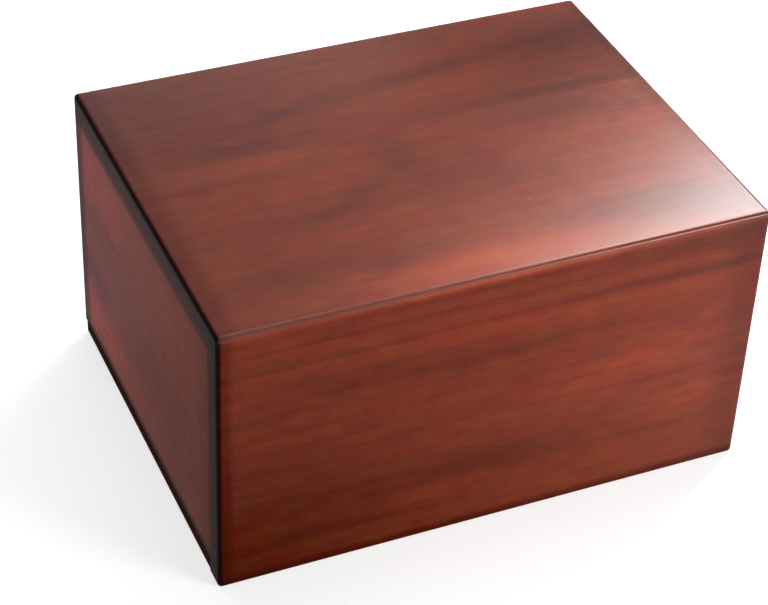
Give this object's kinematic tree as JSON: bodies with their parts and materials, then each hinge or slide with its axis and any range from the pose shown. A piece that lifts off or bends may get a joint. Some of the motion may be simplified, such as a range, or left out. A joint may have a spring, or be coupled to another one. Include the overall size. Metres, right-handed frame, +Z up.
{
  "type": "cremation urn",
  "caption": "Plain rectangular box urn of stained, lacquered boards round one empty chamber, closed by a screwed bottom panel.",
  "frame": {"origin": "middle of the box's footprint, on the surface that it stands on", "axes": "+X along the length, towards the end that the picture hides; -Y out of the long front face; +Z up"},
  "size_m": [0.235, 0.178, 0.127],
  "materials": {
    "top_board": "red-brown stain under satin lacquer",
    "front_board": "red-brown stain under satin lacquer",
    "end_board": "red-brown stain under satin lacquer",
    "back_board": "red-brown stain under satin lacquer",
    "bottom_board": "dark stain, thin lacquer",
    "screw_steel": "yellow-zinc-plated steel"
  },
  "bodies": {
    "root": {"top_panel": "top_board", "front_panel": "front_board", "end_panel_left": "end_board", "end_panel_right": "end_board", "back_panel": "back_board", "bottom_panel": "bottom_board", "bottom_screw_1": "screw_steel", "bottom_screw_2": "screw_steel", "bottom_screw_3": "screw_steel", "bottom_screw_4": "screw_steel"}
  },
  "joints": []
}
